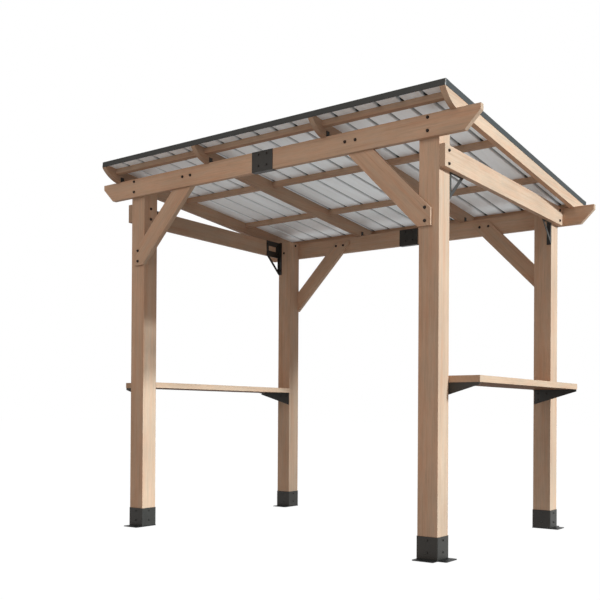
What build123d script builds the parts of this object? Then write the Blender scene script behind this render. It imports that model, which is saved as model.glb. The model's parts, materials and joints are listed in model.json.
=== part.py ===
from build123d import *
import math
import os

# Garden gazebo: an open timber frame with a single-slope ribbed metal roof
# and a bar shelf between the posts on each side.
# Millimetres, +Z up. X runs along the front, Y from the high front to the low rear.
# The origin is on the ground under the middle of the roof.

# Timber sections
post_size = 125.0
board_thickness = 34.0
beam_depth = 126.0
rafter_depth = 89.0
rafter_thickness = 34.0
purlin_depth = 36.0
purlin_thickness = 34.0
edge_radius = 3.0

# Frame
frame_width = 2418.0
frame_depth = 1830.0
front_beam_bottom = 2312.0
rear_beam_bottom = 2148.0
beam_length = 2930.0
beam_nose_height = 34.0

# Knee braces
brace_lap = 17.0
front_brace_width = 124.0
front_brace_angle = 46.0
front_brace_drop = 478.0
rear_brace_width = 112.0
rear_brace_angle = 45.5
rear_brace_drop = 463.0
brace_post_lap = 80.0
brace_beam_lap = 94.0
brace_tip_cut = 24.0

# Roof
roof_width = 2656.0
roof_front_overhang = 171.0
roof_rear_overhang = 245.0
rafter_seat = 8.0
mid_rafter_share = 0.175
rafter_nose_height = 22.0
rafter_tail_length = 148.0
rafter_tail_bulge = 15.0
purlin_front_inset = 97.0
purlin_rear_inset = 67.0
purlin_inner_shares = (0.352, 0.741)

# Ribbed roof sheets
sheet_thickness = 1.2
rib_height = 16.0
rib_foot_width = 26.0
rib_top_width = 12.0
rib_edge_inset = 19.4
ribs_per_sheet = 6
sheet_end_inset = 3.0

# Edge trims
trim_thickness = 1.5
trim_face_height = 35.0
trim_flange_width = 42.0

# Steel post bases
base_plate_thickness = 5.0
base_wall = 3.0
base_height = 130.0
base_clearance = 0.5
base_tab_length = 57.0
base_hole_radius = 6.5
base_hole_spacing = 76.0
base_hole_offset = 32.0
base_tab_corner = 8.0

# Steel plates and brackets
plate_thickness = 3.0
splice_length = 164.0
bracket_reach = 172.0
bracket_drop = 150.0
bracket_flange = 33.0
bracket_window_length = 101.0
bracket_window_height = 42.0
bracket_window_inset = 27.0
bracket_toe = 5.0
bracket_bar_width = 7.0
bracket_post_bar_width = 20.0
bracket_strut_width = 21.0
tie_size = 34.0
tie_width = 30.0

# Bar shelves
shelf_top = 1016.0
shelf_thickness = 38.0
shelf_overhang = 188.0
shelf_bracket_height = 103.0
shelf_bracket_tip = 14.0
shelf_bracket_inset = 6.0
shelf_bracket_flange = 28.0

# Worked out from the sizes above
half_width = frame_width / 2
post_centre_x = half_width - post_size / 2
inner_x = half_width - post_size
front_beam_top = front_beam_bottom + beam_depth
rear_beam_top = rear_beam_bottom + beam_depth
beam_end = beam_length / 2
rear_post_y = frame_depth - post_size

# The rafters' underside passes a little below the top of both beams
slope_run = frame_depth + board_thickness
slope_angle = math.degrees(math.atan2(front_beam_top - rear_beam_top, slope_run))
slope_cos = math.cos(math.radians(slope_angle))
slope_sin = math.sin(math.radians(slope_angle))
slope_tan = math.tan(math.radians(slope_angle))


def underside_z(y):
    return front_beam_top - rafter_seat - (y + board_thickness / 2) * slope_tan


# Roof frame: X along the front, Y down the slope, Z square to the sheets
roof_plane = Plane(
    origin=(0, 0, underside_z(0)), x_dir=(1, 0, 0), z_dir=(0, slope_sin, slope_cos)
)
roof_front = -roof_front_overhang / slope_cos - rafter_depth / 2 * slope_tan
roof_rear = (frame_depth + roof_rear_overhang) / slope_cos - rafter_depth / 2 * slope_tan
roof_half = roof_width / 2

parts = {}


def block(x0, x1, y0, y1, z0, z1):
    box = Box(x1 - x0, y1 - y0, z1 - z0)
    return Pos((x0 + x1) / 2, (y0 + y1) / 2, (z0 + z1) / 2) * box


def prism_y(points, y0, y1):
    """Extrude an outline of (x, z) points from y0 to y1."""
    face = make_face(Polyline([(x, 0, z) for x, z in points], close=True))
    return Pos(0, y0, 0) * extrude(face, y1 - y0, dir=(0, 1, 0))


def prism_x(points, x0, x1):
    """Extrude an outline of (y, z) points from x0 to x1."""
    face = make_face(Polyline([(0, y, z) for y, z in points], close=True))
    return Pos(x0, 0, 0) * extrude(face, x1 - x0, dir=(1, 0, 0))


def mirror_x(shape):
    return mirror(shape, about=Plane.YZ)


def ease(shape, axis):
    """Round the long edges of a board."""
    return fillet(shape.edges().filter_by(axis), edge_radius)


def add(name, shape):
    parts[name] = shape


# Posts
def make_post(x, y, top):
    half = post_size / 2
    body = block(x - half, x + half, y - half, y + half, base_plate_thickness, top)
    return ease(body, Axis.Z)


# Post bases: a plate with anchor tabs and a square sleeve round the post's foot
def make_post_base(x, y, tabs):
    inner = post_size / 2 + base_clearance
    outer = inner + base_wall
    plate = block(x - outer, x + outer, y - outer, y + outer, 0, base_plate_thickness)
    for dx, dy in tabs:
        reach = post_size / 2 + base_tab_length
        mid = (outer + reach) / 2
        size_x = reach - outer if dx else 2 * outer
        size_y = reach - outer if dy else 2 * outer
        tab = Box(size_x, size_y, base_plate_thickness)
        tab = Pos(x + dx * mid, y + dy * mid, base_plate_thickness / 2) * tab
        far = tab.edges().filter_by(Axis.Z).sort_by(Axis((x, y, 0), (dx, dy, 0)))[-2:]
        tab = fillet(far, base_tab_corner)
        for side in (-1, 1):
            along = side * base_hole_spacing / 2
            out = post_size / 2 + base_hole_offset
            hole = Cylinder(base_hole_radius, 3 * base_plate_thickness)
            tab -= Pos(x + dx * out + dy * along, y + dy * out + dx * along, 0) * hole
        plate += tab
    sleeve = Box(2 * outer, 2 * outer, base_height - base_plate_thickness)
    sleeve = fillet(sleeve.edges().filter_by(Axis.Z), edge_radius + base_wall)
    sleeve -= Box(2 * inner, 2 * inner, base_height)
    return plate + Pos(x, y, (base_height + base_plate_thickness) / 2) * sleeve


left, right = -post_centre_x, post_centre_x
front, rear = post_size / 2, frame_depth - post_size / 2
add("post_front_left", make_post(left, front, front_beam_top))
add("post_front_right", make_post(right, front, front_beam_top))
add("post_rear_left", make_post(left, rear, rear_beam_top))
add("post_rear_right", make_post(right, rear, rear_beam_top))
add("post_base_front_left", make_post_base(left, front, [(0, -1)]))
add("post_base_front_right", make_post_base(right, front, [(0, -1), (1, 0)]))
add("post_base_rear_left", make_post_base(left, rear, [(0, -1)]))
add("post_base_rear_right", make_post_base(right, rear, [(1, 0), (0, 1)]))


# Front and rear beams, each in two halves that butt at the middle
def make_half_beam(y0, bottom):
    bevel = beam_depth - beam_nose_height
    outline = [
        (0, bottom),
        (beam_end - bevel, bottom),
        (beam_end, bottom + bevel),
        (beam_end, bottom + beam_depth),
        (0, bottom + beam_depth),
    ]
    return ease(prism_y(outline, y0, y0 + board_thickness), Axis.X)


# Splice plates: a channel round the joint of the two halves
def make_splice(y0, bottom):
    half = splice_length / 2
    t = plate_thickness
    channel = block(-half, half, y0 - t, y0 + board_thickness + t, bottom - t, bottom + beam_depth)
    return channel - block(-half, half, y0, y0 + board_thickness, bottom, bottom + beam_depth)


for place, y0, bottom in (
    ("front", -board_thickness, front_beam_bottom),
    ("rear", frame_depth, rear_beam_bottom),
):
    half_beam = make_half_beam(y0, bottom)
    add(place + "_beam_right", half_beam)
    add(place + "_beam_left", mirror_x(half_beam))
    add(place + "_splice_plate", make_splice(y0, bottom))


# Side beams on the outer faces of the posts, level with the rear beam
side_beam = block(
    half_width, half_width + board_thickness, 0, frame_depth, rear_beam_bottom, rear_beam_top
)
side_beam = ease(side_beam, Axis.Y)
add("side_beam_right", side_beam)
add("side_beam_left", mirror_x(side_beam))


# Knee braces: the foot laps the outer face of the post, the head laps the inner face of the beam
def make_brace(width, angle, drop, beam_bottom, face_y, outward):
    rise = math.tan(math.radians(angle))
    upright = width / math.cos(math.radians(angle))
    foot_z = beam_bottom - drop
    foot_x = inner_x + brace_post_lap
    head_z = beam_bottom + brace_beam_lap

    def lower_x(z):
        return inner_x - (z - foot_z) / rise

    def upper_x(z):
        return inner_x - (z - foot_z - upright) / rise

    outline = [
        (inner_x, foot_z),
        (foot_x, foot_z),
        (foot_x, foot_z + upright - brace_post_lap * rise),
        (upper_x(head_z), head_z),
        (lower_x(head_z - brace_tip_cut), head_z),
        (lower_x(head_z - brace_tip_cut), head_z - brace_tip_cut),
    ]
    y0, y1 = sorted((face_y - outward * brace_lap, face_y + outward * (board_thickness - brace_lap)))
    brace = prism_y(outline, y0, y1)
    past = 2 * board_thickness
    if outward < 0:
        post_side, beam_side = (face_y, face_y + past), (face_y - past, face_y)
    else:
        post_side, beam_side = (face_y - past, face_y), (face_y, face_y + past)
    brace -= block(inner_x, half_width, *post_side, foot_z - past, head_z)
    brace -= block(0, half_width, *beam_side, beam_bottom, head_z + past)
    return brace


front_brace = make_brace(
    front_brace_width, front_brace_angle, front_brace_drop, front_beam_bottom, 0, -1
)
rear_brace = make_brace(
    rear_brace_width, rear_brace_angle, rear_brace_drop, rear_beam_bottom, frame_depth, 1
)
add("brace_front_right", front_brace)
add("brace_front_left", mirror_x(front_brace))
add("brace_rear_right", rear_brace)
add("brace_rear_left", mirror_x(rear_brace))


# Rafters: curved tails at both ends and a level seat over each beam
def make_rafter(x):
    top = rafter_depth
    nose = rafter_depth - rafter_nose_height

    def tail(end, sign):
        start = Vector(0, end, nose)
        stop = Vector(0, end + sign * rafter_tail_length, 0)
        middle = (start + stop) * 0.5
        out = Vector(0, -sign * nose, -rafter_tail_length).normalized()
        return start, ThreePointArc(start, middle + out * rafter_tail_bulge, stop), stop

    front_start, front_arc, front_stop = tail(roof_front, 1)
    rear_start, rear_arc, rear_stop = tail(roof_rear, -1)
    corner_front = Vector(0, roof_front, top)
    corner_rear = Vector(0, roof_rear, top)
    outline = Wire(
        [
            front_arc,
            Line(front_stop, rear_stop),
            rear_arc,
            Line(rear_start, corner_rear),
            Line(corner_rear, corner_front),
            Line(corner_front, front_start),
        ]
    )
    rafter = extrude(Face(outline), rafter_thickness, dir=(1, 0, 0))
    rafter = roof_plane.location * (Pos(x - rafter_thickness / 2, 0, 0) * rafter)
    for y0, top_z in ((-board_thickness, front_beam_top), (frame_depth, rear_beam_top)):
        y1 = y0 + board_thickness
        rafter -= block(x - rafter_thickness, x + rafter_thickness, y0, y1, top_z - beam_depth, top_z)
    return rafter


end_rafter_offset = roof_half - rafter_thickness / 2
mid_rafter_offset = roof_width * mid_rafter_share
rafter_places = {
    "rafter_left": -end_rafter_offset,
    "rafter_middle_left": -mid_rafter_offset,
    "rafter_middle_right": mid_rafter_offset,
    "rafter_right": end_rafter_offset,
}
for name, x in rafter_places.items():
    add(name, make_rafter(x))


# Purlins: short pieces between the rafters, flush with their tops
def make_purlin_row(y):
    xs = list(rafter_places.values())
    v0 = (y - rafter_depth * slope_sin) / slope_cos
    pieces = []
    for x0, x1 in zip(xs, xs[1:]):
        start, stop = x0 + rafter_thickness / 2, x1 - rafter_thickness / 2
        piece = block(start, stop, v0, v0 + purlin_thickness, rafter_depth - purlin_depth, rafter_depth)
        pieces.append(roof_plane.location * piece)
    return Compound(children=pieces)


add("purlins_front_edge", make_purlin_row(purlin_front_inset - roof_front_overhang))
add("purlins_front", make_purlin_row(frame_depth * purlin_inner_shares[0]))
add("purlins_rear", make_purlin_row(frame_depth * purlin_inner_shares[1]))
add("purlins_rear_edge", make_purlin_row(frame_depth + roof_rear_overhang - purlin_rear_inset))

# Roof sheets: trapezoidal ribs run down the slope, and each sheet laps the next over one rib
sheet_names = ("roof_sheet_left", "roof_sheet_middle", "roof_sheet_right")
rib_gaps = len(sheet_names) * ribs_per_sheet
rib_pitch = (roof_width - 2 * rib_edge_inset) / rib_gaps
rib_xs = [(i - rib_gaps / 2) * rib_pitch for i in range(rib_gaps + 1)]


def make_sheet(index, count):
    first = index * ribs_per_sheet
    last = first + ribs_per_sheet + 1
    foot, top = rib_foot_width / 2, rib_top_width / 2
    line = []
    if index == 0:
        line.append((-roof_half, 0))
    for i in range(first, last):
        x = rib_xs[i]
        laps_over = i == first and index > 0
        laps_under = i == last - 1 and index < count - 1
        raised = sheet_thickness if laps_over else 0
        flank = (foot - top) / rib_height
        start = x - foot + flank * sheet_thickness if laps_over else x - foot
        line.append((start, raised + (sheet_thickness if laps_over else 0)))
        line.append((x - top, rib_height + raised))
        line.append((x + top, rib_height + raised))
        if laps_under:
            line.append((x + foot - 2 * flank * sheet_thickness, 2 * sheet_thickness))
        else:
            line.append((x + foot + flank * raised, 0))
    if index == count - 1:
        line.append((roof_half, 0))
    outline = line + [(x, z + sheet_thickness) for x, z in reversed(line)]
    start, stop = roof_front + sheet_end_inset, roof_rear - sheet_end_inset
    sheet = prism_y(outline, start, stop)
    return roof_plane.location * (Pos(0, 0, rafter_depth) * sheet)


for index, name in enumerate(sheet_names):
    add(name, make_sheet(index, len(sheet_names)))

# Edge trims: an upright face with a flange over the sheets' ribs
trim_top = rafter_depth + rib_height + 2 * sheet_thickness + trim_thickness
trim_bottom = trim_top - trim_face_height

# The outermost front and rear edges, with the origin midway between them
front_edge_y = (roof_front - trim_thickness) * slope_cos + trim_bottom * slope_sin
rear_edge_y = (roof_rear + trim_thickness) * slope_cos + (trim_top + trim_thickness) * slope_sin
middle_y = (front_edge_y + rear_edge_y) / 2


def make_side_trim():
    outer = roof_half + trim_thickness
    face = block(roof_half, outer, roof_front, roof_rear, trim_bottom, trim_top)
    flange = block(
        outer - trim_flange_width, outer, roof_front, roof_rear, trim_top - trim_thickness, trim_top
    )
    return roof_plane.location * (face + flange)


def make_end_trim(edge, sign):
    """The front or rear trim: sign points away from the roof."""
    outer = roof_half + trim_thickness
    y0, y1 = sorted((edge, edge + sign * trim_thickness))
    face = block(-outer, outer, y0, y1, trim_bottom, trim_top + trim_thickness)
    y0, y1 = sorted((edge + sign * trim_thickness, edge - sign * trim_flange_width))
    flange = block(-outer, outer, y0, y1, trim_top, trim_top + trim_thickness)
    return roof_plane.location * (face + flange)


side_trim = make_side_trim()
add("roof_trim_right", side_trim)
add("roof_trim_left", mirror_x(side_trim))
add("roof_trim_front", make_end_trim(roof_front, -1))
add("roof_trim_rear", make_end_trim(roof_rear, 1))


# Corner brackets: a pierced plate on the side beam, a braced foot below it and a flange on the post
def make_corner_bracket(post_face, sign):
    """post_face is the Y of the post's face, sign points away from the post."""
    t = plate_thickness
    bottom = rear_beam_bottom
    foot = bottom - bracket_drop
    y_far = post_face + sign * bracket_reach
    outline = [
        (post_face, foot),
        (post_face + sign * bracket_toe, foot),
        (y_far, bottom),
        (y_far, rear_beam_top),
        (post_face, rear_beam_top),
    ]
    plate = prism_x(outline, half_width - t, half_width)
    window_y = y_far - sign * (bracket_window_inset + bracket_window_length / 2)
    window = Box(3 * t, bracket_window_length, bracket_window_height)
    window = fillet(window.edges().filter_by(Axis.X), edge_radius)
    plate -= Pos(half_width, window_y, bottom + beam_depth / 2) * window

    # The triangular hole leaves a bar under the beam, a bar beside the post and the strut
    run = bracket_reach - bracket_toe
    strut_length = math.hypot(run, bracket_drop)
    strut_reach = bracket_strut_width * strut_length / bracket_drop
    hole_top = bottom - bracket_bar_width
    hole_far = bracket_reach - bracket_bar_width * run / bracket_drop - strut_reach
    hole_drop = (hole_far - bracket_post_bar_width) * bracket_drop / run
    triangle = [
        (post_face + sign * bracket_post_bar_width, hole_top),
        (post_face + sign * hole_far, hole_top),
        (post_face + sign * bracket_post_bar_width, hole_top - hole_drop),
    ]
    plate -= prism_x(triangle, half_width - 2 * t, half_width + t)
    y0, y1 = sorted((post_face, post_face + sign * t))
    flange = block(half_width - bracket_flange, half_width, y0, y1, foot, rear_beam_top)
    return plate + flange


for place, post_face, sign in (("front", post_size, 1), ("rear", rear_post_y, -1)):
    bracket = make_corner_bracket(post_face, sign)
    add("corner_bracket_" + place + "_right", bracket)
    add("corner_bracket_" + place + "_left", mirror_x(bracket))

# Bar shelves between the posts, standing out past them
shelf_outer = half_width + shelf_overhang
shelf = block(inner_x, shelf_outer, post_size, rear_post_y, shelf_top - shelf_thickness, shelf_top)
shelf = fillet(shelf.edges().filter_by(Axis.Z), edge_radius)
add("shelf_right", shelf)
add("shelf_left", mirror_x(shelf))


# Shelf brackets: tapered plates on the posts' facing sides, flanged under the shelf
def make_shelf_bracket(post_face, sign):
    top = shelf_top - shelf_thickness
    x0, x1 = inner_x + shelf_bracket_inset, shelf_outer - shelf_bracket_inset
    outline = [
        (x0, top),
        (x0, top - shelf_bracket_height),
        (x1, top - shelf_bracket_tip),
        (x1, top),
    ]
    y0, y1 = sorted((post_face, post_face + sign * plate_thickness))
    plate = prism_y(outline, y0, y1)
    y0, y1 = sorted((post_face, post_face + sign * shelf_bracket_flange))
    flange = block(x0, x1, y0, y1, top - plate_thickness, top)
    return plate + flange


shelf_bracket_pair = [make_shelf_bracket(post_size, 1), make_shelf_bracket(rear_post_y, -1)]
add("shelf_brackets_right", Compound(children=shelf_bracket_pair))
add("shelf_brackets_left", Compound(children=[mirror_x(b) for b in shelf_bracket_pair]))


# Rafter ties: small angles that hold each rafter to the beams
def make_tie(face_x, sign, y0, beam_top):
    """face_x is the rafter's side, sign points away from the rafter."""
    y_mid = y0 + board_thickness / 2
    x_mid = face_x + sign * tie_size / 2
    foot = Pos(x_mid, y_mid, beam_top + plate_thickness / 2) * Box(tie_size, tie_width, plate_thickness)
    leg = Box(plate_thickness, tie_width, tie_size)
    leg = Pos(face_x + sign * plate_thickness / 2, y_mid, beam_top + tie_size / 2) * leg
    return foot + leg


ties = []
for name, x in rafter_places.items():
    sign = -1 if name == "rafter_right" else 1
    face_x = x + sign * rafter_thickness / 2
    ties.append(make_tie(face_x, sign, -board_thickness, front_beam_top))
    ties.append(make_tie(face_x, sign, frame_depth, rear_beam_top))
add("rafter_ties", Compound(children=ties))

os.makedirs("parts", exist_ok=True)
for name, shape in parts.items():
    export_step(Pos(0, -middle_y, 0) * shape, "parts/" + name + ".step")
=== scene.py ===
import json
import math
import random

import bmesh
import bpy
from mathutils import Matrix, Vector


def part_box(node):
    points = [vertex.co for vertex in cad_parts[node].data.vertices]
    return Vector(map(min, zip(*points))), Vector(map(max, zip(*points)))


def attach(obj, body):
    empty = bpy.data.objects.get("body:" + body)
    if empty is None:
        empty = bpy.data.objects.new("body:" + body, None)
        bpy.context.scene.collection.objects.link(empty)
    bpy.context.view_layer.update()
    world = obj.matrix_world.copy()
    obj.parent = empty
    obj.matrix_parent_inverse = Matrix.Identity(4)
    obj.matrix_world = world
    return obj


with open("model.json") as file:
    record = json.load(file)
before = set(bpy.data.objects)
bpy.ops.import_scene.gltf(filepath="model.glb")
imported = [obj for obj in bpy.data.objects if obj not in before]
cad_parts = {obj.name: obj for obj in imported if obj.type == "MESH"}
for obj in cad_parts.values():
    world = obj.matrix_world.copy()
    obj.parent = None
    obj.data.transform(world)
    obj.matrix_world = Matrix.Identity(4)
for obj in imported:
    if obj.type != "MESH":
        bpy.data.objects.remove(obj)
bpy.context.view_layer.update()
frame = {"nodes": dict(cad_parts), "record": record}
draw = random.Random(7)

# Lengths are in metres. X runs along the high front, Y from the front to the low rear.

# Camera: a pinhole placed and turned as in the photograph
IMAGE_SIZE = 600
FOCAL_PX = 867.89
HORIZON_SHIFT_PX = 109.06
SENSOR_MM = 36.0
CAMERA_PLACE = Vector((3.3922, -5.2042, 0.800))
CAMERA_YAW = 0.63257
CAMERA_PITCH = 0.00515
CAMERA_ROLL = 0.00622

# Colours as linear values. The sheet is written near white, far paler than the grey it shows
# in the photograph, because little light reaches its underside; its top clips to white.
TIMBER = (0.650, 0.412, 0.273)
BLACK_STEEL = (0.026, 0.0215, 0.0168)
BOLT_BLACK = (0.026, 0.016, 0.011)
SHEET_GREY = (0.98, 0.96, 0.945)
TRIM_GREY = (0.029, 0.0285, 0.0260)
# Painted highlight up the trim's front right corner
CORNER_HIGHLIGHT_GREY = (0.55, 0.54, 0.52)
# Painted shade, near black, where a rib's hollow crosses a purlin
CROSSING_SHADE_GREY = 0.03
FLOOR_WHITE = (0.42, 0.41, 0.40)

# Sizes
CORNER_HIGHLIGHT_WIDTH = 0.0045
RIB_PITCH = 0.1454
STEEL_PLATE = 0.003
PURLIN_BOARD = 0.036
SHEET_METAL = 0.0012
PURLIN_ROWS = ("purlins_front_edge", "purlins_front", "purlins_rear", "purlins_rear_edge")

# Shade painted on after the photograph, as factors on the colour. It isn't a known property
# of the real materials, and it stays put under other light.
TIMBER_UNDER = (0.80, 0.74, 0.70)
SHELF_UNDER = (0.30, 0.22, 0.17)
UNDER_NORMALS = (-0.75, -0.95)
GROUND_SHADE = 0.15
GROUND_HEIGHTS = (0.005, 0.012)
RIB_SHADE = 0.45
RIB_SHADE_EDGE = (0.008, 0.0125)
CROSSING_REACH = (0.030, 0.022)
CROSSING_EDGE = (0.011, 0.008)
SHEET_UNDER_NORMAL = -0.01
# Whole boards written darker, as painted shade
BOARDS_IN_PAINTED_SHADE = {
    "rafter_left": 0.78,
    "rafter_middle_left": 0.74,
    "rafter_middle_right": 0.74,
    "purlins_front_edge": 0.82,
    "purlins_front": 0.88,
    "purlins_rear": 0.88,
    "purlins_rear_edge": 0.88,
    "side_beam_left": 0.76,
}


def corners(node):
    """The low and the high corner of a CAD node."""
    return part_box(node)


# Places read from the frame
post_low, post_high = corners("post_front_right")
post_size = post_high.x - post_low.x
half_width = post_high.x
inner_x = post_low.x
front_y = post_low.y
rear_y = corners("post_rear_right")[1].y
front_beam_low, front_beam_high = corners("front_beam_right")
rear_beam_low, rear_beam_high = corners("rear_beam_right")
side_beam_low, side_beam_high = corners("side_beam_right")
board = front_beam_high.y - front_beam_low.y


# Shader helpers
def new_material(name):
    material = bpy.data.materials.new(name)
    material.use_nodes = True
    tree = material.node_tree
    shader = tree.nodes["Principled BSDF"]
    return material, tree, shader


def add_node(tree, kind, **values):
    node = tree.nodes.new(kind)
    for key, value in values.items():
        setattr(node, key, value)
    return node


def noise(tree, vector, scale, detail=3.0, rough=0.55):
    node = add_node(tree, "ShaderNodeTexNoise")
    node.inputs["Scale"].default_value = scale
    node.inputs["Detail"].default_value = detail
    node.inputs["Roughness"].default_value = rough
    tree.links.new(vector, node.inputs["Vector"])
    return node.outputs["Fac"]


def ramp(tree, factor, stops):
    node = add_node(tree, "ShaderNodeValToRGB")
    elements = node.color_ramp.elements
    while len(elements) < len(stops):
        elements.new(0.5)
    for element, (place, colour) in zip(elements, stops):
        element.position = place
        element.color = (*colour, 1.0)
    tree.links.new(factor, node.inputs["Fac"])
    return node.outputs["Color"]


def feed(tree, socket, value):
    """Link a socket to another one, or set its own value."""
    if isinstance(value, bpy.types.NodeSocket):
        tree.links.new(value, socket)
    else:
        socket.default_value = value


def mix(tree, mode, factor, a, b):
    """Two colours mixed: inputs 6 and 7 and output 2 are the node's colour sockets."""
    node = add_node(tree, "ShaderNodeMix", data_type="RGBA", blend_type=mode)
    feed(tree, node.inputs["Factor"], factor)
    feed(tree, node.inputs[6], a)
    feed(tree, node.inputs[7], b)
    return node.outputs[2]


def calculate(tree, operation, *values):
    node = add_node(tree, "ShaderNodeMath", operation=operation)
    for socket, value in zip(node.inputs, values):
        feed(tree, socket, value)
    return node.outputs[0]


def map_range(tree, value, from_min, from_max, to_min=0.0, to_max=1.0):
    node = add_node(tree, "ShaderNodeMapRange")
    node.inputs["From Min"].default_value = from_min
    node.inputs["From Max"].default_value = from_max
    node.inputs["To Min"].default_value = to_min
    node.inputs["To Max"].default_value = to_max
    tree.links.new(value, node.inputs["Value"])
    return node.outputs["Result"]


def parts_of(tree, vector):
    """A vector's X, Y and Z, by name."""
    node = add_node(tree, "ShaderNodeSeparateXYZ")
    tree.links.new(vector, node.inputs[0])
    return node.outputs


def bump(tree, shader, height, strength, distance, normal=None):
    node = add_node(tree, "ShaderNodeBump")
    node.inputs["Strength"].default_value = strength
    node.inputs["Distance"].default_value = distance
    tree.links.new(height, node.inputs["Height"])
    if normal is not None:
        tree.links.new(normal, node.inputs["Normal"])
    tree.links.new(node.outputs["Normal"], shader.inputs["Normal"])
    return node.outputs["Normal"]


def grey(level):
    return (level, level, level)


def tinted(colour, level):
    return tuple(min(1.0, c * level) for c in colour)


# Planed softwood: long streaks and fine fibres along the board, rings on its ends. under is
# the painted shade of its underside, and share scales the colour of the whole board; on the
# boards written darker as a whole, that is painted shade.
def timber_material(name, along, under, gloss, share):
    material, tree, shader = new_material(name)
    coords = add_node(tree, "ShaderNodeTexCoord")
    turn = along.rotation_difference(Vector((1, 0, 0))).to_euler()
    place = add_node(tree, "ShaderNodeMapping")
    place.inputs["Rotation"].default_value = turn
    place.inputs["Location"].default_value = [draw.uniform(-9, 9) for _ in range(3)]
    tree.links.new(coords.outputs["Object"], place.inputs["Vector"])

    def stretched(length, width):
        node = add_node(tree, "ShaderNodeMapping")
        node.inputs["Scale"].default_value = (1 / length, 1 / width, 1 / width)
        tree.links.new(place.outputs["Vector"], node.inputs["Vector"])
        return node.outputs["Vector"]

    figure = noise(tree, stretched(0.9, 0.045), 1.0, 4.0, 0.6)
    streaks = noise(tree, stretched(0.35, 0.007), 1.0, 3.0, 0.6)
    fibres = noise(tree, stretched(0.05, 0.0016), 1.0, 2.0, 0.5)
    clouds = noise(tree, stretched(0.5, 0.25), 1.0, 2.0, 0.5)
    mottle = noise(tree, stretched(0.16, 0.028), 1.0, 3.0, 0.55)

    tone = draw.uniform(0.96, 1.04) * share
    base = tinted(TIMBER, tone)
    redder = (base[0] * 0.97, base[1] * 0.86, base[2] * 0.81)
    paler = (base[0] * 1.05, base[1] * 1.07, base[2] * 1.09)
    colour = ramp(tree, figure, ((0.25, redder), (0.5, base), (0.75, paler)))
    dark = ramp(tree, streaks, ((0.30, grey(0.84)), (0.50, grey(1.0)), (0.8, grey(1.03))))
    colour = mix(tree, "MULTIPLY", 0.8, colour, dark)
    fine = ramp(tree, fibres, ((0.30, grey(0.88)), (0.55, grey(1.0))))
    colour = mix(tree, "MULTIPLY", 0.9, colour, fine)
    patches = ramp(tree, clouds, ((0.35, grey(0.90)), (0.65, grey(1.05))))
    colour = mix(tree, "MULTIPLY", 0.9, colour, patches)
    cooler, warmer = (0.96, 0.99, 1.015), (1.01, 0.965, 0.95)
    tints = ramp(tree, mottle, ((0.36, cooler), (0.5, grey(1.0)), (0.64, warmer)))
    colour = mix(tree, "MULTIPLY", 1.0, colour, tints)

    # Painted shade on what faces down
    below = map_range(tree, parts_of(tree, coords.outputs["Normal"])["Z"], *UNDER_NORMALS)
    underside = mix(tree, "MULTIPLY", 1.0, colour, (*under, 1))
    colour = mix(tree, "MIX", below, colour, underside)

    # End grain: growth rings round a pith that lies outside the section
    facing = add_node(tree, "ShaderNodeVectorMath", operation="DOT_PRODUCT")
    facing.inputs[1].default_value = along
    tree.links.new(coords.outputs["Normal"], facing.inputs[0])
    at_end = map_range(tree, calculate(tree, "ABSOLUTE", facing.outputs["Value"]), 0.80, 0.95)
    rings = add_node(tree, "ShaderNodeTexWave", wave_type="RINGS", rings_direction="X")
    rings.inputs["Scale"].default_value = 40.0
    rings.inputs["Distortion"].default_value = 1.5
    rings.inputs["Detail"].default_value = 2.0
    tree.links.new(place.outputs["Vector"], rings.inputs["Vector"])
    end = ramp(tree, rings.outputs["Fac"], ((0.0, tinted(base, 0.72)), (1.0, tinted(base, 0.95))))
    colour = mix(tree, "MIX", at_end, colour, end)
    tree.links.new(colour, shader.inputs["Base Color"])

    shine = ramp(tree, streaks, ((0.3, grey(0.68)), (0.7, grey(0.56))))
    tree.links.new(shine, shader.inputs["Roughness"])
    shader.inputs["Specular IOR Level"].default_value = gloss
    bump(tree, shader, fibres, 0.25, 0.0006)
    return material


# Powder-coated steel: a fine orange-peel skin and cloudy tint. grounded paints shade on the
# post bases' plates and tabs.
def coated_material(name, colour, rough, gloss, dust=0.25, grounded=False):
    material, tree, shader = new_material(name)
    coords = add_node(tree, "ShaderNodeTexCoord")
    grain = noise(tree, coords.outputs["Object"], 900.0, 2.0)
    clouds = noise(tree, coords.outputs["Object"], 9.0, 4.0, 0.6)
    stops = ((0.3, tinted(colour, 1 - dust)), (0.7, tinted(colour, 1 + dust)))
    tint = ramp(tree, clouds, stops)
    if grounded:
        height = parts_of(tree, coords.outputs["Object"])["Z"]
        shade = map_range(tree, height, *GROUND_HEIGHTS, GROUND_SHADE)
        tint = mix(tree, "MULTIPLY", 1.0, tint, shade)
    tree.links.new(tint, shader.inputs["Base Color"])
    shine = ramp(tree, clouds, ((0.3, grey(rough - 0.06)), (0.7, grey(rough + 0.08))))
    tree.links.new(shine, shader.inputs["Roughness"])
    shader.inputs["Specular IOR Level"].default_value = gloss
    bump(tree, shader, grain, 0.12, 0.0004)
    return material


# A painted highlight: a pale line up the trim's front right corner, where the photograph has one
def add_corner_highlight(material):
    tree = material.node_tree
    shader = tree.nodes["Principled BSDF"]
    coords = add_node(tree, "ShaderNodeTexCoord")
    place = parts_of(tree, coords.outputs["Object"])
    side_x = corners("roof_trim_right")[1].x - CORNER_HIGHLIGHT_WIDTH
    front_edge = corners("roof_trim_front")[0].y + CORNER_HIGHLIGHT_WIDTH
    at_side = calculate(tree, "GREATER_THAN", place["X"], side_x)
    at_front = calculate(tree, "LESS_THAN", place["Y"], front_edge)
    both = calculate(tree, "MULTIPLY", at_side, at_front)
    plain = shader.inputs["Base Color"].links[0].from_socket
    highlight = mix(tree, "MIX", both, plain, (*CORNER_HIGHLIGHT_GREY, 1))
    tree.links.new(highlight, shader.inputs["Base Color"])


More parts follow.
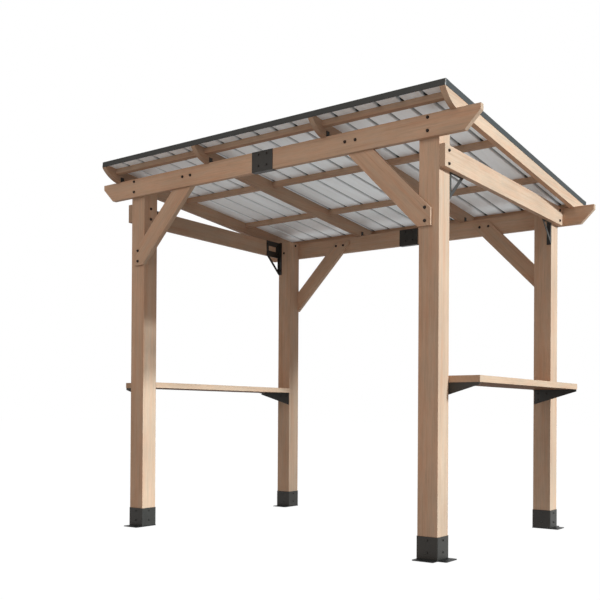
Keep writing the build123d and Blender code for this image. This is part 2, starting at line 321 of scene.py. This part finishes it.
# Pale coated sheet metal, slightly wavy between its ribs
def sheet_material(name):
    material, tree, shader = new_material(name)
    coords = add_node(tree, "ShaderNodeTexCoord")
    long_way = add_node(tree, "ShaderNodeMapping")
    long_way.inputs["Scale"].default_value = (9.0, 0.9, 1.0)
    tree.links.new(coords.outputs["Object"], long_way.inputs["Vector"])
    streaks = noise(tree, long_way.outputs["Vector"], 2.0, 4.0, 0.6)
    grain = noise(tree, coords.outputs["Object"], 600.0, 2.0)
    stops = ((0.3, tinted(SHEET_GREY, 0.93)), (0.7, tinted(SHEET_GREY, 1.06)))
    colour = ramp(tree, streaks, stops)

    # Painted shade in the hollows of the ribs, on what faces down
    place = parts_of(tree, coords.outputs["Object"])
    off_rib = calculate(tree, "PINGPONG", place["X"], RIB_PITCH / 2)
    hollow = map_range(tree, off_rib, *RIB_SHADE_EDGE, RIB_SHADE)
    up = parts_of(tree, coords.outputs["Normal"])["Z"]
    underneath = calculate(tree, "LESS_THAN", up, SHEET_UNDER_NORMAL)
    shaded = mix(tree, "MULTIPLY", 1.0, colour, hollow)
    colour = mix(tree, "MIX", underneath, colour, shaded)

    # Painted shade, near black, where a hollow crosses a row of purlins
    crossing = None
    for row in PURLIN_ROWS:
        low, high = corners(row)
        away = calculate(tree, "SUBTRACT", place["Y"], (low.y + high.y) / 2)
        near = map_range(tree, calculate(tree, "ABSOLUTE", away), *CROSSING_REACH)
        crossing = near if crossing is None else calculate(tree, "MAXIMUM", crossing, near)
    in_rib = map_range(tree, off_rib, *CROSSING_EDGE)
    crossing_shade = calculate(tree, "MULTIPLY", underneath, crossing)
    crossing_shade = calculate(tree, "MULTIPLY", crossing_shade, in_rib)
    colour = mix(tree, "MIX", crossing_shade, colour, (*grey(CROSSING_SHADE_GREY), 1))
    tree.links.new(colour, shader.inputs["Base Color"])
    shader.inputs["Metallic"].default_value = 0.3
    shine = ramp(tree, streaks, ((0.3, grey(0.50)), (0.7, grey(0.60))))
    tree.links.new(shine, shader.inputs["Roughness"])
    skin = bump(tree, shader, grain, 0.05, 0.0003)
    bump(tree, shader, streaks, 0.15, 0.004, skin)
    return material


BRACE_LEAN = math.radians(44)


def brace_direction(node):
    """Along a knee brace: up and inwards from its post."""
    low, high = corners(node)
    inwards = 1 if low.x + high.x < 0 else -1
    return Vector((inwards * math.sin(BRACE_LEAN), 0, math.cos(BRACE_LEAN)))


along_x = Vector((1, 0, 0))
along_y = Vector((0, 1, 0))
along_z = Vector((0, 0, 1))


def grain_of(node):
    if node.startswith("post"):
        return along_z
    if node.startswith("brace"):
        return brace_direction(node)
    if node.startswith(("side_beam", "rafter", "shelf")):
        return along_y
    return along_x


steel = coated_material("black_steel", BLACK_STEEL, 0.48, 0.35)
base_steel = coated_material("black_steel_base", BLACK_STEEL, 0.48, 0.35, grounded=True)
bolt_steel = coated_material("bolt_black", BOLT_BLACK, 0.5, 0.2)
trim = coated_material("trim_coating", TRIM_GREY, 0.6, 0.35, 0.10)
add_corner_highlight(trim)
sheet = sheet_material("roof_sheet_coating")
slot_of = {part["node"]: part["material_slot"] for part in frame["record"]["subparts"]}

for node, obj in sorted(frame["nodes"].items()):
    slot = slot_of[node]
    if slot == "timber":
        if node.startswith("shelf"):
            finish = timber_material("timber_" + node, grain_of(node), SHELF_UNDER, 0.04, 0.97)
        else:
            # Painted shade: some boards are written darker as a whole
            share = BOARDS_IN_PAINTED_SHADE.get(node, 1.0)
            finish = timber_material("timber_" + node, grain_of(node), TIMBER_UNDER, 0.2, share)
    else:
        finish = {"black_steel": steel, "roof_metal": sheet, "trim_metal": trim}[slot]
        if node.startswith("post_base"):
            finish = base_steel
    obj.data.materials.clear()
    obj.data.materials.append(finish)


# Small pieces, each kind joined into one mesh
def make_piece(name, mesh, material):
    data = bpy.data.meshes.new(name)
    mesh.to_mesh(data)
    mesh.free()
    piece = bpy.data.objects.new(name, data)
    bpy.context.scene.collection.objects.link(piece)
    data.materials.append(material)
    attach(piece, "root")


def standing_on(point, out):
    """The place of a small piece whose foot is at a point and whose axis points out."""
    return Matrix.Translation(point) @ along_z.rotation_difference(out).to_matrix().to_4x4()


def add_ring(mesh, place, profile, sides, turn=0.0):
    """A turned form: profile is a list of (radius, height), closed at its last point."""
    loops = []
    for radius, height in profile:
        loop = []
        for i in range(sides):
            angle = turn + 2 * math.pi * i / sides
            point = Vector((radius * math.cos(angle), radius * math.sin(angle), height))
            loop.append(mesh.verts.new(place @ point))
        loops.append(loop)
    for low, high in zip(loops, loops[1:]):
        for i in range(sides):
            j = (i + 1) % sides
            mesh.faces.new((low[i], low[j], high[j], high[i]))
    mesh.faces.new(loops[-1])
    mesh.faces.new(list(reversed(loops[0])))


WASHER_RADIUS = 0.0095
WASHER_THICKNESS = 0.002
HEAD_RADIUS = 0.0078
HEAD_HEIGHT = 0.0065


def add_bolt(mesh, point, out, scale=1.0):
    """A hexagon head with a chamfered top on a flat washer."""
    place = standing_on(Vector(point), out)
    washer = WASHER_RADIUS * scale
    thick = WASHER_THICKNESS * scale
    rim = thick * 0.2
    profile = ((washer, 0), (washer, thick - rim), (washer - rim, thick))
    add_ring(mesh, place, profile, 24)
    head, top = HEAD_RADIUS * scale, thick + HEAD_HEIGHT * scale
    chamfer = head * 0.12
    profile = ((head, thick), (head, top - chamfer), (head - chamfer, top))
    add_ring(mesh, place, profile, 6, draw.uniform(0, math.pi))


def add_screw(mesh, point, out, radius):
    """A low domed head."""
    rise = radius * 0.45
    steps = 4
    profile = [(radius, 0)]
    for i in range(1, steps + 1):
        angle = 0.5 * math.pi * i / (steps + 1)
        profile.append((radius * math.cos(angle), rise * math.sin(angle)))
    add_ring(mesh, standing_on(Vector(point), out), profile, 14)


front_out, rear_out = Vector((0, -1, 0)), Vector((0, 1, 0))
beam_bolts = bmesh.new()

# Front and rear beams to the posts, a pair at each post
BEAM_BOLT_HEIGHTS = (0.035, 0.108)
post_bolt_x = half_width - 0.056
for side in (-1, 1):
    for beam_low, face_y, out in (
        (front_beam_low, front_beam_low.y, front_out),
        (rear_beam_low, rear_beam_high.y, rear_out),
    ):
        for height in BEAM_BOLT_HEIGHTS:
            add_bolt(beam_bolts, (side * post_bolt_x, face_y, beam_low.z + height), out)
    point = (side * post_bolt_x, rear_y - post_size, rear_beam_low.z + BEAM_BOLT_HEIGHTS[0])
    add_bolt(beam_bolts, point, front_out)
    for height in BEAM_BOLT_HEIGHTS:
        point = (side * post_bolt_x, front_y + post_size, front_beam_low.z + height)
        add_bolt(beam_bolts, point, rear_out)

# Knee braces: two bolts through each head and two through each foot
brace_front_low, brace_front_high = corners("brace_front_right")
brace_rear_low, brace_rear_high = corners("brace_rear_right")
front_head_z = front_beam_low.z + 0.070
rear_head_z = rear_beam_low.z + 0.063
for side in (-1, 1):
    for x in (0.615, 0.686):
        add_bolt(beam_bolts, (side * x, front_beam_low.y, front_head_z), front_out)
        add_bolt(beam_bolts, (side * x, brace_front_high.y, front_head_z), rear_out)
        add_bolt(beam_bolts, (side * x, rear_beam_high.y, rear_head_z), rear_out)
        add_bolt(beam_bolts, (side * x, brace_rear_low.y, rear_head_z), front_out)
    for height in (0.028, 0.101):
        foot_x = side * (half_width - 0.080)
        add_bolt(beam_bolts, (foot_x, brace_front_low.y, brace_front_low.z + height), front_out)
        add_bolt(beam_bolts, (foot_x, brace_rear_high.y, brace_rear_low.z + height), rear_out)

# Side beams to the posts, with the bolts' ends on the posts' inner faces
for side in (-1, 1):
    out, back = Vector((side, 0, 0)), Vector((-side, 0, 0))
    outer = side * side_beam_high.x
    for height in (0.022, 0.095):
        add_bolt(beam_bolts, (outer, front_y + 0.046, side_beam_low.z + height), out)
        point = (side * inner_x, front_y + 0.062, side_beam_low.z + height - 0.005)
        add_bolt(beam_bolts, point, back)
    rear_bolt_y = rear_y - 0.056
    for height in (0.027, 0.100):
        add_bolt(beam_bolts, (outer, rear_bolt_y, side_beam_low.z + height), out)
    add_bolt(beam_bolts, (side * inner_x, rear_bolt_y, side_beam_low.z + 0.102), back)
make_piece("beam_bolts", beam_bolts, bolt_steel)

# Scale of the bolts against those of the beams
SPLICE_BOLT, BASE_BOLT, BRACKET_BOLT, SHELF_BOLT = 0.8, 0.7, 0.55, 0.6

# Splice plates: four bolts on each face
splice_bolts = bmesh.new()
splices = (("front_splice_plate", front_beam_low), ("rear_splice_plate", rear_beam_low))
for node, beam_low in splices:
    low, high = corners(node)
    for x in (-0.032, 0.032):
        for height in (0.035, 0.105):
            add_bolt(splice_bolts, (x, low.y, beam_low.z + height), front_out, SPLICE_BOLT)
            add_bolt(splice_bolts, (x, high.y, beam_low.z + height), rear_out, SPLICE_BOLT)
make_piece("splice_bolts", splice_bolts, steel)

# Post bases: an upper and a lower bolt in the middle of each face
SLEEVE_OUT = 0.0035
base_bolts = bmesh.new()
for end in ("front", "rear"):
    for hand in ("left", "right"):
        post = corners("post_%s_%s" % (end, hand))
        middle = (post[0] + post[1]) / 2
        reach = post_size / 2 + SLEEVE_OUT
        for out in (front_out, rear_out, Vector((1, 0, 0)), Vector((-1, 0, 0))):
            for height in (0.044, 0.110):
                point = Vector((middle.x, middle.y, height)) + out * reach
                add_bolt(base_bolts, point, out, BASE_BOLT)
make_piece("base_bolts", base_bolts, steel)

# Corner brackets: four bolts through the plate into the beam, three through the flange
BRACKET_BOLT_RISE = 0.035
bracket_bolts = bmesh.new()
for end in ("front", "rear"):
    for side, hand in ((-1, "left"), (1, "right")):
        low, high = corners("corner_bracket_%s_%s" % (end, hand))
        post_y, far_y, away = (low.y, high.y, 1) if end == "front" else (high.y, low.y, -1)
        inner_face = side * (half_width - STEEL_PLATE)
        beam_middle = (side_beam_low.z + side_beam_high.z) / 2
        for y in (far_y - away * 0.0135, post_y + away * 0.024):
            for z in (beam_middle + BRACKET_BOLT_RISE, beam_middle - BRACKET_BOLT_RISE):
                point = (inner_face, y, z)
                add_bolt(bracket_bolts, point, Vector((-side, 0, 0)), BRACKET_BOLT)
        for z in (low.z + 0.040, low.z + 0.120, high.z - 0.035):
            point = (side * (half_width - 0.018), post_y + away * STEEL_PLATE, z)
            add_bolt(bracket_bolts, point, Vector((0, away, 0)), BRACKET_BOLT)

# Shelf brackets: bolts into the posts and screws up into the shelf
SHELF_SCREW_RADIUS = 0.005
for side, hand in ((-1, "left"), (1, "right")):
    low, high = corners("shelf_brackets_" + hand)
    near_x, far_x = inner_x + 0.035, half_width - 0.030
    for post_y, away in ((low.y, 1), (high.y, -1)):
        for x, drop in ((near_x, 0.028), (near_x, 0.070), (far_x, 0.028)):
            point = (side * x, post_y + away * STEEL_PLATE, high.z - drop)
            add_bolt(bracket_bolts, point, Vector((0, away, 0)), SHELF_BOLT)
        for x in (inner_x + 0.040, inner_x + 0.150, inner_x + 0.260):
            point = (side * x, post_y + away * 0.017, high.z - STEEL_PLATE)
            add_screw(bracket_bolts, point, Vector((0, 0, -1)), SHELF_SCREW_RADIUS)
make_piece("bracket_bolts", bracket_bolts, bolt_steel)

# Roof screws: one in the middle of each pan between two ribs, over each row of purlins
PANS_EACH_SIDE = 9
ROOF_SCREW_RADIUS = 0.0065
SCREW_DOWN_SLOPE = 0.017
roof_screws = bmesh.new()
fall = front_beam_high.z - rear_beam_high.z
slope = math.atan2(fall, rear_beam_high.y - front_beam_low.y - board)
roof_up = Vector((0, math.sin(slope), math.cos(slope)))
for row in PURLIN_ROWS:
    low, high = corners(row)
    top = Vector((0, low.y + PURLIN_BOARD * math.sin(slope), high.z))
    down_slope = Vector((0, math.cos(slope), -math.sin(slope)))
    foot = top + down_slope * SCREW_DOWN_SLOPE + roof_up * SHEET_METAL
    for i in range(-PANS_EACH_SIDE, PANS_EACH_SIDE):
        point = foot + Vector(((i + 0.5) * RIB_PITCH, 0, 0))
        add_screw(roof_screws, point, roof_up, ROOF_SCREW_RADIUS)
make_piece("roof_screws", roof_screws, sheet)

# FLOOR_GLOW is the share of its own glow in what the camera sees of the floor
FLOOR_SIZE = 60.0
FLOOR_GLOW = 0.97
FLOOR_DROP = 0.0005


def seen_rays(tree):
    """One for the camera's rays and for those seen in gloss or through glass, else zero."""
    rays = add_node(tree, "ShaderNodeLightPath")
    total = rays.outputs["Is Camera Ray"]
    for other in ("Is Glossy Ray", "Is Transmission Ray"):
        total = calculate(tree, "MAXIMUM", total, rays.outputs[other])
    return total


# Floor: pale to the lamps, and white to the camera, so no shadow is seen on it
def make_floor():
    mesh = bmesh.new()
    bmesh.ops.create_grid(mesh, x_segments=1, y_segments=1, size=FLOOR_SIZE)
    data = bpy.data.meshes.new("floor")
    mesh.to_mesh(data)
    mesh.free()
    floor = bpy.data.objects.new("floor", data)
    bpy.context.scene.collection.objects.link(floor)
    floor.location.z = -FLOOR_DROP
    material, tree, shader = new_material("floor_white")
    shader.inputs["Base Color"].default_value = (*FLOOR_WHITE, 1)
    shader.inputs["Roughness"].default_value = 0.9
    shader.inputs["Specular IOR Level"].default_value = 0.1
    glow = add_node(tree, "ShaderNodeEmission")
    glow.inputs["Strength"].default_value = 1 / FLOOR_GLOW
    blend = add_node(tree, "ShaderNodeMixShader")
    share = calculate(tree, "MULTIPLY", seen_rays(tree), FLOOR_GLOW)
    tree.links.new(share, blend.inputs["Fac"])
    tree.links.new(shader.outputs[0], blend.inputs[1])
    tree.links.new(glow.outputs[0], blend.inputs[2])
    tree.links.new(blend.outputs[0], tree.nodes["Material Output"].inputs["Surface"])
    data.materials.append(material)


make_floor()


# World: white to the camera and in gloss, plain and dimmer on the object
def make_world():
    world = bpy.data.worlds.new("studio")
    bpy.context.scene.world = world
    world.use_nodes = True
    tree = world.node_tree
    tree.nodes.clear()
    output = add_node(tree, "ShaderNodeOutputWorld")
    fill = add_node(tree, "ShaderNodeBackground")
    fill.inputs["Color"].default_value = (*WORLD_COLOUR, 1)
    fill.inputs["Strength"].default_value = WORLD_STRENGTH
    white = add_node(tree, "ShaderNodeBackground")
    white.inputs["Color"].default_value = (1, 1, 1, 1)
    blend = add_node(tree, "ShaderNodeMixShader")
    tree.links.new(seen_rays(tree), blend.inputs["Fac"])
    tree.links.new(fill.outputs[0], blend.inputs[1])
    tree.links.new(white.outputs[0], blend.inputs[2])
    tree.links.new(blend.outputs[0], output.inputs["Surface"])


WORLD_COLOUR = (1.0, 0.89, 0.83)
WORLD_STRENGTH = 0.20
make_world()

# Key light: a far soft box low on the right, of constant strength over the object. Its blue
# tint makes up for a timber that is written more orange than its lit sides show.
KEY_PLACE = Vector((15.0, 0.82, 8.4))
KEY_AIM = Vector((0.0, 0.4, 1.2))
KEY_WIDTH = 1.7
KEY_HEIGHT = 1.5
KEY_STRENGTH = 1.09
KEY_COLOUR = (0.80, 1.02, 1.15)


def make_key():
    lamp = bpy.data.lights.new("key", "AREA")
    lamp.shape = "RECTANGLE"
    lamp.size = KEY_WIDTH
    lamp.size_y = KEY_HEIGHT
    lamp.energy = 1.0
    lamp.color = KEY_COLOUR
    lamp.use_nodes = True
    tree = lamp.node_tree
    falloff = add_node(tree, "ShaderNodeLightFalloff")
    falloff.inputs["Strength"].default_value = KEY_STRENGTH * 4 * math.pi
    tree.links.new(falloff.outputs["Constant"], tree.nodes["Emission"].inputs["Strength"])
    obj = bpy.data.objects.new("key", lamp)
    obj.location = KEY_PLACE
    obj.rotation_euler = (KEY_AIM - KEY_PLACE).to_track_quat("-Z", "Y").to_euler()
    bpy.context.scene.collection.objects.link(obj)


make_key()

# Fill light: a wide soft box in front
FILL_PLACE = Vector((0.4, -6.0, 4.2))
FILL_AIM = Vector((0.0, -0.8, 1.3))
FILL_SIZE = 4.0
FILL_WATTS = 88.0
FILL_COLOUR = (1.0, 0.94, 0.88)


def make_fill():
    lamp = bpy.data.lights.new("fill", "AREA")
    lamp.shape = "SQUARE"
    lamp.size = FILL_SIZE
    lamp.energy = FILL_WATTS
    lamp.color = FILL_COLOUR
    obj = bpy.data.objects.new("fill", lamp)
    obj.location = FILL_PLACE
    obj.rotation_euler = (FILL_AIM - FILL_PLACE).to_track_quat("-Z", "Y").to_euler()
    bpy.context.scene.collection.objects.link(obj)


make_fill()


def make_camera():
    right = Vector((math.cos(CAMERA_YAW), math.sin(CAMERA_YAW), 0))
    ahead = Vector((-math.sin(CAMERA_YAW), math.cos(CAMERA_YAW), 0))
    tilt_cos, tilt_sin = math.cos(CAMERA_PITCH), math.sin(CAMERA_PITCH)
    forward = ahead * tilt_cos + along_z * tilt_sin
    up = along_z * tilt_cos - ahead * tilt_sin
    roll_cos, roll_sin = math.cos(CAMERA_ROLL), math.sin(CAMERA_ROLL)
    across = right * roll_cos + up * roll_sin
    upward = up * roll_cos - right * roll_sin
    lens = bpy.data.cameras.new("camera")
    lens.sensor_width = SENSOR_MM
    lens.lens = FOCAL_PX * SENSOR_MM / IMAGE_SIZE
    lens.shift_y = HORIZON_SHIFT_PX / IMAGE_SIZE
    camera = bpy.data.objects.new("camera", lens)
    turn = Matrix((across, upward, -forward)).transposed().to_4x4()
    camera.matrix_world = Matrix.Translation(CAMERA_PLACE) @ turn
    bpy.context.scene.collection.objects.link(camera)
    bpy.context.scene.camera = camera


make_camera()
bpy.context.scene.view_settings.view_transform = "Standard"
